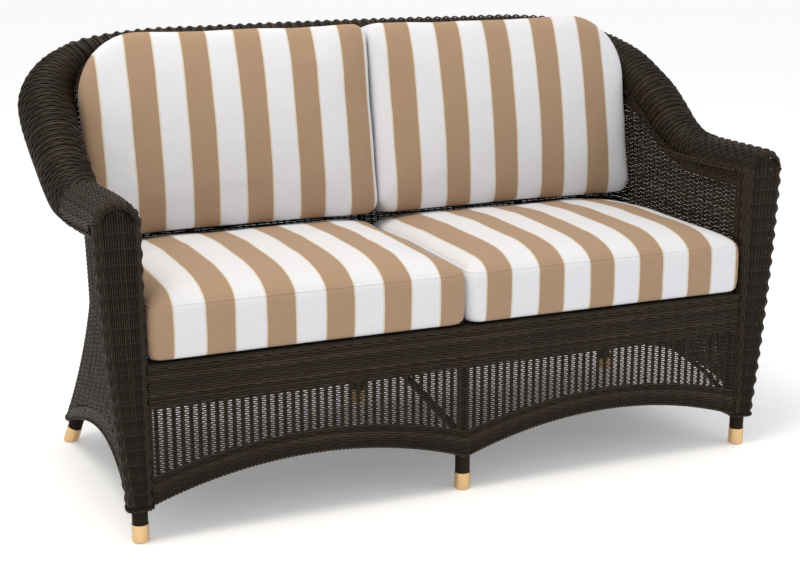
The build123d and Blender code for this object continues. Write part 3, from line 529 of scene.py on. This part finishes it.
def post_place(u, v):
    """A place on a post: u counts rows up from the floor, v counts the six parts of the section."""
    z = u * POST_ROW
    outer = bowed_x(np.minimum(z, ARCH_HEIGHT))
    inner = np.full_like(z, HALF_WIDTH)
    share = v - np.floor(v)
    share = np.where(v >= 6, 1.0, share)
    part = np.minimum(np.floor(v), 5)
    angle = share * np.pi / 2
    xs = [inner, inner + EDGE - EDGE * np.cos(angle), inner + EDGE + (outer - inner - 2 * EDGE) * share,
          outer - EDGE + EDGE * np.sin(angle), outer - 6 * share ** 2, outer - 6 + (inner - outer + 6) * share]
    ds = [POST_DEPTH + (EDGE - POST_DEPTH) * share, EDGE - EDGE * np.sin(angle), np.zeros_like(z),
          EDGE - EDGE * np.cos(angle), EDGE + (POST_DEPTH - EDGE) * share, np.full_like(z, POST_DEPTH)]
    x = np.choose(part.astype(int), xs)
    d = np.choose(part.astype(int), ds)
    return np.stack([x, y_at(d), z], axis=1)


def front_post():
    """Strands run up the post; bars round it, every other one deeper, show between them. The bars take the darkest
    tone, painted shade for the dark rows in the grooves.
    """
    strands = Strands()
    counts = (5, 4, 13, 4, 5, 14)
    rows = np.concatenate([i + (np.arange(c) + 0.5) / c for i, c in enumerate(counts)])

    def kept(line, us, vs):
        z = line[:, 2]
        top = np.where((vs > 2) & (vs < 3),
                       ARCH_HEIGHT + np.sqrt(np.maximum(31.5 ** 2 - (line[:, 0] - POST_X) ** 2, 0)), ARCH_HEIGHT + 6)
        return z <= top + 0.5

    def width(us, vs):
        z = us * POST_ROW
        span = bowed_x(np.minimum(z, ARCH_HEIGHT)) - HALF_WIDTH
        part = np.minimum(np.floor(vs), 5).astype(int)
        pitch = np.choose(part, [5.8, 5.9, (span - 30) / 13, 5.9, 5.8, span / 14])
        return pitch * 0.49

    weave(strands, post_place, rows, 68.5 / POST_ROW, 642.0 / POST_ROW, 0.45, width, 1.3, 0.01, kept=kept,
          inset=2.9, outward=-1.0, together=1.9)
    ring = np.linspace(0, 5.98, 61)
    for row in np.arange(math.ceil(70 / POST_ROW), ARCH_HEIGHT / POST_ROW):
        line = post_place(np.full(len(ring), row), ring)
        along = unit(np.gradient(line, axis=0))
        out = unit(np.cross(along, np.array([0.0, 0.0, 1.0])))
        centre = line.mean(axis=0)
        out = np.where(((line - centre) * out).sum(axis=1, keepdims=True) < 0, -out, out)
        # Real bars, but at the darkest tone: painted shade for the dark rows between the strands.
        depth = 4.7 if round(row) % 2 else 6.7
        strands.add(line - out * depth, np.tile([0.0, 0.0, 1.0], (len(ring), 1)), out, 3.4, 1.2, 0.0)
    line = post_place(np.full(len(ring), 70.0 / POST_ROW), ring)
    out = unit(line - np.array([line[:, 0].mean(), line[:, 1].mean(), 70.0]))
    rope(strands, line - out * 1.5, out, 3.6, 14)
    return strands


right_post = front_post()
right_post.build("woven_post_right", ["front_post_wicker_right"])
right_post.mirrored().build("woven_post_left", ["front_post_wicker_left"])


# ---------------------------------------------------------------- the wrap-round wall
def wall_sizes(z):
    """Half width, back distance and corner radius of the wall's outer face at a height."""
    drop = np.clip((SEAT_TOP - z) / 295.0, 0, 1)
    rise = np.clip((z - SEAT_TOP) / 535.0, 0, 1)
    below = z < SEAT_TOP
    half_width = np.where(below, 645 + 47 * drop ** 1.134, 645 + 6 * rise)
    back = np.where(below, 577.3 + 53.7 * drop ** 1.276, 577.3 + RECLINE * (z - SEAT_TOP))
    corner = np.where(below, 100 - 60 * drop ** 2.52, 128 - 28 * (1 - rise) ** 4)
    return half_width, back, corner


SIDE_STEPS, CORNER_STEPS, BACK_STEPS = 26.0, 9.0, 33.0
HALF_STEPS = SIDE_STEPS + CORNER_STEPS + BACK_STEPS
WALL_START = 44.3


def wall_place(inset=4.0):
    """A place on the wall: u counts stakes from the right post round to the left one."""
    def place(u, z):
        half_width, back, corner = wall_sizes(z)
        half_width, back, corner = half_width - inset, back - inset, corner - inset
        sign = np.where(u <= HALF_STEPS, 1.0, -1.0)
        w = np.where(u <= HALF_STEPS, u, 2 * HALF_STEPS - u)
        straight = back - corner - WALL_START
        turn = np.clip((w - SIDE_STEPS) / CORNER_STEPS, 0, 1) * np.pi / 2
        tail = np.clip((w - SIDE_STEPS - CORNER_STEPS) / BACK_STEPS, 0, 1)
        d = WALL_START + straight * np.minimum(w / SIDE_STEPS, 1) + corner * np.sin(turn)
        x = half_width - corner * (1 - np.cos(turn)) - (half_width - corner) * tail
        return np.stack([sign * x, y_at(d), z + 0 * u], axis=1)
    return place


def under_roll(line):
    """True for the places that lie under the rolls' middle line and outside their skins."""
    every = ROLL[::2]
    flat = np.abs(line) * np.array([1, 0, 0]) + line * np.array([0, 1, 1])
    gap = np.linalg.norm(flat[:, None, :2] - every[None, :, :2], axis=2)
    near = gap.argmin(axis=1)
    low = flat[:, 2] < every[near, 2] + 1
    reach = np.linalg.norm(flat[:, None] - every[None, :, :3], axis=2) - every[None, :, 3]
    return low & (reach.min(axis=1) > -4.5)


def wall_foot(x, d):
    """The lower edge of the wall, an arch on each side and two behind."""
    side = arc_height(d - 280, 280, 65, 133)
    side = np.where(d < 280, side + 7 * (1 - d / 280), side - 7 * (d - 280) / 280)
    rear = arc_height(abs(x) - 330.25, 314.75, 58, 120)
    return np.where(d > 575, rear, np.where(abs(x) > 600, np.maximum(side, 58), rear))


def wall_span(behind):
    """First and last stake of the side part, or of the part behind it; they overlap by nine stakes."""
    return (SIDE_STEPS - 9, HALF_STEPS) if behind else (0.0, SIDE_STEPS)


def own_part(d, behind):
    """True for the places whose distance back lies in the side part, or in the part behind it."""
    return (d > 424) if behind else (d < 437)


def upper_wall(behind, side):
    strands = Strands()
    place = wall_place()
    first, last = wall_span(behind)

    def kept(line, us, vs):
        return under_roll(line) & own_part(line[:, 1] + DEPTH / 2, behind)

    weave(strands, place, np.arange(348, 866, 4.6), first, last, 0.35, 2.27, 1.1, 1.0, kept=kept, wander=0.08,
          outward=-1.0, together=1.5)
    at = np.arange(math.ceil(first), last + 0.1)
    if not behind:
        at[0] += 0.16
    stakes(strands, place, at, 346, 866, 105, 2.3, 1.3, kept=kept)
    return strands if side > 0 else strands.mirrored()


def lower_wall(behind, side):
    strands = Strands()
    place = wall_place()
    first, last = wall_span(behind)

    def above_foot(by):
        def kept(line, us, vs):
            d = line[:, 1] + DEPTH / 2
            return (line[:, 2] > wall_foot(line[:, 0], d) + by) & own_part(d, behind)
        return kept

    weave(strands, place, np.arange(343, 70, -4.8), first, last, 0.6, 2.55, 1.1, 1.0, kept=above_foot(27),
          wander=0.08, outward=-1.0, together=0.7)
    stakes(strands, place, np.arange(math.ceil(first), last + 0.1), 56, 344, 60, 1.9, 1.5, kept=above_foot(2))

    def band_place(u, v):
        base = wall_place()(u, np.full_like(u, 85.0))
        z = wall_foot(base[:, 0], base[:, 1] + DEPTH / 2) + v
        return wall_place(3.4)(u, z)

    def kept_band(line, us, vs):
        return own_part(line[:, 1] + DEPTH / 2, behind)

    weave(strands, band_place, np.arange(6.5, 32, 4.7), first, last, 0.7, 2.7, 1.3, 1.0, kept=kept_band, outward=-1.0)
    us = np.linspace(first, last, 160)
    line = band_place(us, np.full(160, 3.6))
    line = line[kept_band(line, us, us)]
    out = unit(np.cross(np.gradient(line, axis=0), np.array([0.0, 0.0, 1.0])))
    rope(strands, line, out, 3.6, 14)
    return strands if side > 0 else strands.mirrored()


for side, word in ((1, "right"), (-1, "left")):
    upper_wall(False, side).build(f"woven_side_panel_{word}", [f"side_panel_wicker_{word}"])
    upper_wall(True, side).build(f"woven_back_panel_{word}", ["back_panel_wicker"])
    lower_wall(False, side).build(f"woven_side_apron_{word}", [f"side_apron_wicker_{word}"])
    lower_wall(True, side).build(f"woven_rear_apron_{word}", ["rear_apron_wicker"])


# ---------------------------------------------------------------- the front apron
APRON_HALF = 640.5
APRON_EDGE = APRON_HALF / STAKE
FRONT_STAKES = np.concatenate([[-38.65], np.arange(-38, 39), [38.65]])


def front_place(depth):
    def place(u, v):
        return np.stack([u * STAKE, np.full_like(u, y_at(depth)), v + 0 * u], axis=1)
    return place


def border_low(x):
    return arc_height(abs(x) - APRON_HALF / 2, APRON_HALF / 2, 73, 130)


def border_high(x):
    return arc_height(abs(x) - APRON_HALF / 2, APRON_HALF / 2, 130, 179)


def front_band():
    strands = Strands()
    weave(strands, front_place(8.5), np.arange(264.5, 342, 5.3), -APRON_EDGE, APRON_EDGE, 0.7, 3.05, 1.3, 1.0,
          wander=0.2, together=1.0)
    stakes(strands, front_place(10.0), FRONT_STAKES, 262, 344, 18, 3.0, 0.8)
    line = np.array([[x, y_at(7.5), 343.0] for x in np.linspace(-APRON_HALF, APRON_HALF, 120)])
    rope(strands, line, np.tile([0.0, -1.0, 0.0], (120, 1)), 3.0, 14)
    return strands


def open_weave():
    strands = Strands()

    def kept(line, us, vs):
        return line[:, 2] > border_high(line[:, 0]) - 6

    weave(strands, front_place(8.5), np.arange(131, 262, 4.3), -APRON_EDGE, APRON_EDGE, 1.7, 1.58, 0.9, 1.0,
          kept=kept, wander=0.12)
    for offset in (-0.125, 0.125):
        stakes(strands, front_place(8.5), FRONT_STAKES, 124, 263, 60, 2.15, 1.5, kept=kept, offset=offset)
    return strands


def front_border():
    strands = Strands()

    def place(u, v):
        x = u * STAKE
        low, high = border_low(x), border_high(x)
        return np.stack([x, np.full_like(u, y_at(7.3)), low + (high - low) * v], axis=1)

    def width(us, vs):
        x = us * STAKE
        return (border_high(x) - border_low(x)) / 10.5 * 0.55

    weave(strands, place, (np.arange(10) + 0.8) / 10.5, -APRON_EDGE, APRON_EDGE, 0.7, width, 1.4, 0.01,
          together=1.0)
    stakes(strands, place, FRONT_STAKES, 0.04, 0.97, 14, 2.6, 0.8, inset=1.8)
    xs = np.linspace(-APRON_HALF, APRON_HALF, 300)
    line = np.stack([xs, np.full(300, y_at(7.5)), border_low(xs) + 3.4], axis=1)
    rope(strands, line, np.tile([0.0, -1.0, 0.0], (300, 1)), 3.8, 16)
    return strands


front_band().build("woven_front_band", ["front_band_wicker"])
open_weave().build("woven_front_open_weave", ["front_open_weave_wicker"])
front_border().build("woven_front_border", ["front_border_wicker"])


# ---------------------------------------------------------------- leg wraps
def leg_wrap(foot, top, low, high):
    """Cane wound round a leg between two distances along it."""
    strands = Strands()
    foot, top = np.array(foot, float), np.array(top, float)
    along = unit(top - foot)
    side = unit(np.cross(along, [0.0, 1.0, 0.0]))
    front_way = np.cross(along, side)
    pitch, per = 3.1, 14
    turns = (high - low) / pitch
    t = np.linspace(0, turns, int(turns * per))
    angle = 2 * np.pi * t
    out = np.cos(angle)[:, None] * side + np.sin(angle)[:, None] * front_way
    line = foot + along * (low + pitch * t)[:, None] + out * 14.2
    strands.add(line, np.tile(along, (len(t), 1)), out, 1.55, 1.15, 0.5)
    return strands


def build_wrap(name, foot, top, high):
    length = high / unit(np.array(top, float) - np.array(foot, float))[2]
    made = leg_wrap(foot, top, 36.5, length)
    made.build("wound_" + name, [name])


LEG_BACK = 26
LEG_TOP = 319.7
FRONT_WRAP_END, REAR_WRAP_END = 71, 57.5
FEET = {
    "leg_wrap_front_right": ((661, y_at(LEG_BACK), 0), (661, y_at(LEG_BACK), LEG_TOP), FRONT_WRAP_END),
    "leg_wrap_front_left": ((-661, y_at(LEG_BACK), 0), (-661, y_at(LEG_BACK), LEG_TOP), FRONT_WRAP_END),
    "leg_wrap_front_centre": ((0, y_at(LEG_BACK), 0), (0, y_at(LEG_BACK), LEG_TOP), FRONT_WRAP_END),
    "leg_wrap_rear_right": ((676, y_at(610), 0), (586, y_at(528), LEG_TOP), REAR_WRAP_END),
    "leg_wrap_rear_left": ((-676, y_at(610), 0), (-586, y_at(528), LEG_TOP), REAR_WRAP_END),
    "leg_wrap_rear_centre": ((0, y_at(609.5), 0), (0, y_at(550), LEG_TOP), REAR_WRAP_END),
}
for name, (foot, top, high) in FEET.items():
    build_wrap(name, foot, top, high)


# ---------------------------------------------------------------- cushions
# Levels of a cushion: share of its thickness, then inset and draw as shares of the thickness too.
SEAT_THICKNESS, BACK_THICKNESS = 137.0, 139.6
SEAT_LEVELS = ((0.000, 0.088, 0.0), (0.015, 0.048, 0.0), (0.045, 0.024, 0.0), (0.120, 0.009, 0.0),
               (0.250, 0.002, 0.0), (0.440, 0.000, 0.0), (0.620, 0.003, 0.0), (0.700, 0.012, 0.0),
               (0.752, 0.029, 0.0), (0.800, 0.075, 0.0), (0.850, 0.155, 0.0), (0.905, 0.285, 0.0),
               (0.950, 0.480, 0.0), (0.982, 0.740, 0.0), (1.000, 1.100, 0.0))
BACK_LEVELS = ((0.000, 1.250, 0.000), (0.020, 0.900, 0.000), (0.050, 0.580, 0.000), (0.090, 0.340, 0.000),
               (0.130, 0.170, 0.000), (0.170, 0.070, 0.000), (0.210, 0.022, 0.000), (0.300, 0.005, 0.000),
               (0.420, 0.000, 0.010), (0.560, 0.000, 0.035), (0.680, 0.003, 0.085), (0.800, 0.012, 0.180),
               (0.900, 0.045, 0.310), (0.965, 0.100, 0.440), (1.000, 0.180, 0.550))


def pillow_ring(left, right, low, high, corners, inset, pull=3.0):
    """Points round a rounded outline whose sides pull in between the corners."""
    x0, x1, y0, y1 = left + inset, right - inset, low + inset, high - inset
    widest = min(x1 - x0, y1 - y0) * 0.44
    a, b, c, d = [min(r + inset / 4, widest) for r in corners]
    sides = (((x0 + a, y0), (x1 - b, y0), (0, 1), 52), ((x1, y0 + b), (x1, y1 - c), (-1, 0), 42),
             ((x1 - c, y1), (x0 + d, y1), (0, -1), 52), ((x0, y1 - d), (x0, y0 + a), (1, 0), 42))
    bends = (((x1 - b, y0 + b), b, -90), ((x1 - c, y1 - c), c, 0), ((x0 + d, y1 - d), d, 90),
             ((x0 + a, y0 + a), a, 180))
    out = []
    for (p, q, inward, count), (centre, radius, start) in zip(sides, bends):
        t = np.linspace(0, 1, count, endpoint=False)[:, None]
        bowed = pull * (1 - (2 * t - 1) ** 2)
        out.append(np.array(p) + (np.array(q) - np.array(p)) * t + np.array(inward) * bowed)
        angle = np.radians(start + 90 * np.linspace(0, 1, 12, endpoint=False))
        out.append(np.array(centre) + radius * np.stack([np.cos(angle), np.sin(angle)], axis=1))
    return np.concatenate(out)


def cushion_profile(levels, thickness, seams):
    """Levels resampled along their own curve, closer together at the seams, each with a welt."""
    rows = np.array(levels) * thickness
    chord = np.concatenate([[0], np.cumsum(np.hypot(np.diff(rows[:, 0]), np.diff(rows[:, 1])))])
    slope = np.gradient(rows, chord, axis=0)
    places = list(np.linspace(0, chord[-1], 40))
    marks = [np.interp(seam * thickness, rows[:, 0], chord) for seam in seams]
    for mark in marks:
        places = [p for p in places if abs(p - mark) > 6]
        places += [mark + step for step in (-5.5, -3.6, -2.4, -1.2, 0, 1.2, 2.4, 3.6, 5.5)]
    places = np.array(sorted(places))
    out = []
    for p in places:
        i = min(np.searchsorted(chord, p, side="right") - 1, len(rows) - 2)
        h = chord[i + 1] - chord[i]
        t = (p - chord[i]) / h
        row = ((2 * t ** 3 - 3 * t ** 2 + 1) * rows[i] + (t ** 3 - 2 * t ** 2 + t) * h * slope[i]
               + (3 * t ** 2 - 2 * t ** 3) * rows[i + 1] + (t ** 3 - t ** 2) * h * slope[i + 1])
        welt = sum(0.5 * math.exp(-((p - mark) / 1.3) ** 2) - 1.1 * math.exp(-((abs(p - mark) - 3.2) / 1.4) ** 2)
                   for mark in marks)
        out.append((*row, welt))
    return out


def make_cushion(name, nodes, body, levels, thickness, ring_at, to_world, material, seams, deepest, seed):
    """A closed cushion of rings, its flat faces drawn in to the deepest inset, uneven by seeded noise."""
    profile = cushion_profile(levels, thickness, seams)
    rings = []
    opening, closing = profile[0], profile[-1]
    rings += [(opening[0], inset, opening[2], 0.0) for inset in np.linspace(deepest, opening[1], 8)[:-1]]
    rings += profile
    rings += [(closing[0], inset, closing[2], 0.0) for inset in np.linspace(closing[1], deepest, 8)[1:]]
    points = []
    for z, inset, draw, welt in rings:
        plan = ring_at(inset, draw)
        if welt:
            middle = plan.mean(axis=0)
            plan = plan + unit(plan - middle) * welt
        points.append(np.concatenate([plan, np.full((len(plan), 1), z)], axis=1))
    points = np.array(points)
    count = points.shape[1]
    verts = to_world(points.reshape(-1, 3)) * MM
    k = np.arange(count)
    quads = []
    for j in range(len(rings) - 1):
        a, b = j * count + k, j * count + (k + 1) % count
        quads.append(np.stack([a, b, b + count, a + count], axis=1))
    quads = np.concatenate(quads)
    moved = []
    for p in verts:
        v = Vector(p)
        n1 = noise.noise(v * 7.0 + Vector((seed, 0, 0)))
        n2 = noise.noise(v * 19.0 + Vector((0, seed, 0)))
        moved.append(n1 * 0.0022 + n2 * 0.0008)
    calm = np.clip((deepest - np.array([ring[1] for ring in rings])) / 70, 0, 1)
    calm *= np.where(np.array([ring[0] for ring in rings]) < 6, 0.25, 1.0)
    moved = np.array(moved) * np.repeat(calm, count)
    faces = [tuple(int(i) for i in q) for q in quads]
    faces.append(tuple(range(count))[::-1])
    faces.append(tuple(range((len(rings) - 1) * count, len(rings) * count)))
    mesh = bpy.data.meshes.new(name)
    mesh.from_pydata([tuple(p) for p in verts], [], faces)
    mesh.update()
    if sum(f.normal.dot(f.center - Vector(verts.mean(axis=0))) for f in mesh.polygons) < 0:
        mesh.flip_normals()
    normals = np.array([v.normal for v in mesh.vertices])
    verts = verts + normals * moved[:, None]
    mesh.vertices.foreach_set("co", verts.astype(np.float32).ravel())
    mesh.polygons.foreach_set("use_smooth", np.ones(len(mesh.polygons), bool))
    mesh.update()
    mesh.materials.append(material)
    obj = bpy.data.objects.new(name, mesh)
    bpy.context.scene.collection.objects.link(obj)
    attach(obj, body)
    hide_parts(*nodes)


LEAN = math.atan(RECLINE)
BACK_ORIGIN = np.array([0.0, y_at(427.7), 489.3])
BACK_AXES = np.array([[-1, 0, 0], [0, math.sin(LEAN), math.cos(LEAN)], [0, math.cos(LEAN), -math.sin(LEAN)]])


def seat_world(points):
    """The pads have sunk a little at the back, where the back cushions press on them."""
    share = np.clip((points[:, 1] - y_at(290)) / 150, 0, 1)
    sunk = 7 * share ** 2 * (3 - 2 * share) * np.clip(points[:, 2] / SEAT_THICKNESS, 0, 1)
    return points + np.stack([0 * sunk, 0 * sunk, 349.3 - sunk], axis=1)


def back_world(points):
    return BACK_ORIGIN + points @ BACK_AXES


def seat_ring(inset, draw):
    return pillow_ring(0.6, 635.4 - draw, y_at(3), y_at(541.3), (24, 18, 85, 34), inset, 1.6)


def back_ring(inset, draw):
    return pillow_ring(draw - 635.6, -0.6, 0, 416, (30, 30, 30, 134), inset)


def mirror_x(ring):
    def made(inset, draw):
        plan = ring(inset, draw)[::-1]
        return plan * np.array([-1, 1])
    return made


# Where the first tan stripe starts, and how far on the next one does.
STRIPES = {"seat_left": (-646.5, 117.0), "seat_right": (37.0, 116.3), "back_left": (-71.6, 117.0),
           "back_right": (37.0, 119.0)}
for side, word in ((1, "right"), (-1, "left")):
    make_cushion(f"seat_cushion_{word}", [f"seat_cushion_cover_{word}", f"seat_cushion_core_{word}"],
                 f"seat_cushion_{word}", SEAT_LEVELS, SEAT_THICKNESS,
                 seat_ring if side > 0 else mirror_x(seat_ring), seat_world,
                 stripe_material(f"striped_seat_{word}", *STRIPES[f"seat_{word}"]), (0.752,), 266.0, 3.0 + side)
    make_cushion(f"back_cushion_{word}", [f"back_cushion_cover_{word}", f"back_cushion_core_{word}"],
                 f"back_cushion_{word}", BACK_LEVELS, BACK_THICKNESS,
                 back_ring if side > 0 else mirror_x(back_ring), back_world,
                 stripe_material(f"striped_back_{word}", *STRIPES[f"back_{word}"]), (), 203.0, 9.0 + side)


# ---------------------------------------------------------------- floor, light and camera
def floor_material():
    mat, nodes, links, bsdf = new_material("pale_floor")
    bsdf.inputs["Base Color"].default_value = (0.93, 0.93, 0.935, 1)
    bsdf.inputs["Emission Color"].default_value = (1, 1, 1, 1)
    bsdf.inputs["Emission Strength"].default_value = 0.20
    bsdf.inputs["Roughness"].default_value = 0.75
    return mat


mesh = bpy.data.meshes.new("floor")
mesh.from_pydata([(-40, -40, 0), (40, -40, 0), (40, 40, 0), (-40, 40, 0)], [], [(0, 1, 2, 3)])
mesh.materials.append(floor_material())
floor = bpy.data.objects.new("floor", mesh)
bpy.context.scene.collection.objects.link(floor)
floor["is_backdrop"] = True

world = bpy.data.worlds.new("studio")
world.use_nodes = True
world.node_tree.nodes["Background"].inputs["Color"].default_value = (1.0, 1.0, 1.0, 1)
world.node_tree.nodes["Background"].inputs["Strength"].default_value = 0.80
bpy.context.scene.world = world


def area_light(name, place, target, size, power, colour=(1, 1, 1)):
    light = bpy.data.lights.new(name, "AREA")
    light.size = size
    light.energy = power
    light.color = colour
    obj = bpy.data.objects.new(name, light)
    obj.location = place
    obj.rotation_euler = (Vector(target) - Vector(place)).to_track_quat("-Z", "Y").to_euler()
    bpy.context.scene.collection.objects.link(obj)


area_light("key", (-1.2, -0.6, 3.8), (0, 0, 0.4), 2.0, 92, (1.0, 0.93, 0.80))
area_light("fill", (2.8, -3.2, 2.2), (0, 0, 0.4), 3.0, 18)

camera_data = bpy.data.cameras.new("camera")
camera_data.sensor_width = 36
camera_data.lens = 68.70
camera_data.shift_x = -0.00324
camera_data.shift_y = -0.00324
camera_data.clip_end = 200
camera = bpy.data.objects.new("camera", camera_data)
yaw, pitch = 0.4029, 0.2551
ahead = Vector((math.sin(yaw) * math.cos(pitch), math.cos(yaw) * math.cos(pitch), -math.sin(pitch)))
right = Vector((math.cos(yaw), -math.sin(yaw), 0))
above = right.cross(ahead)
camera.matrix_world = Matrix(((right.x, above.x, -ahead.x, -1.244), (right.y, above.y, -ahead.y, -2.9464),
                              (right.z, above.z, -ahead.z, 1.1869), (0, 0, 0, 1)))
bpy.context.scene.collection.objects.link(camera)
bpy.context.scene.camera = camera
bpy.context.scene.view_settings.view_transform = "Standard"

low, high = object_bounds()
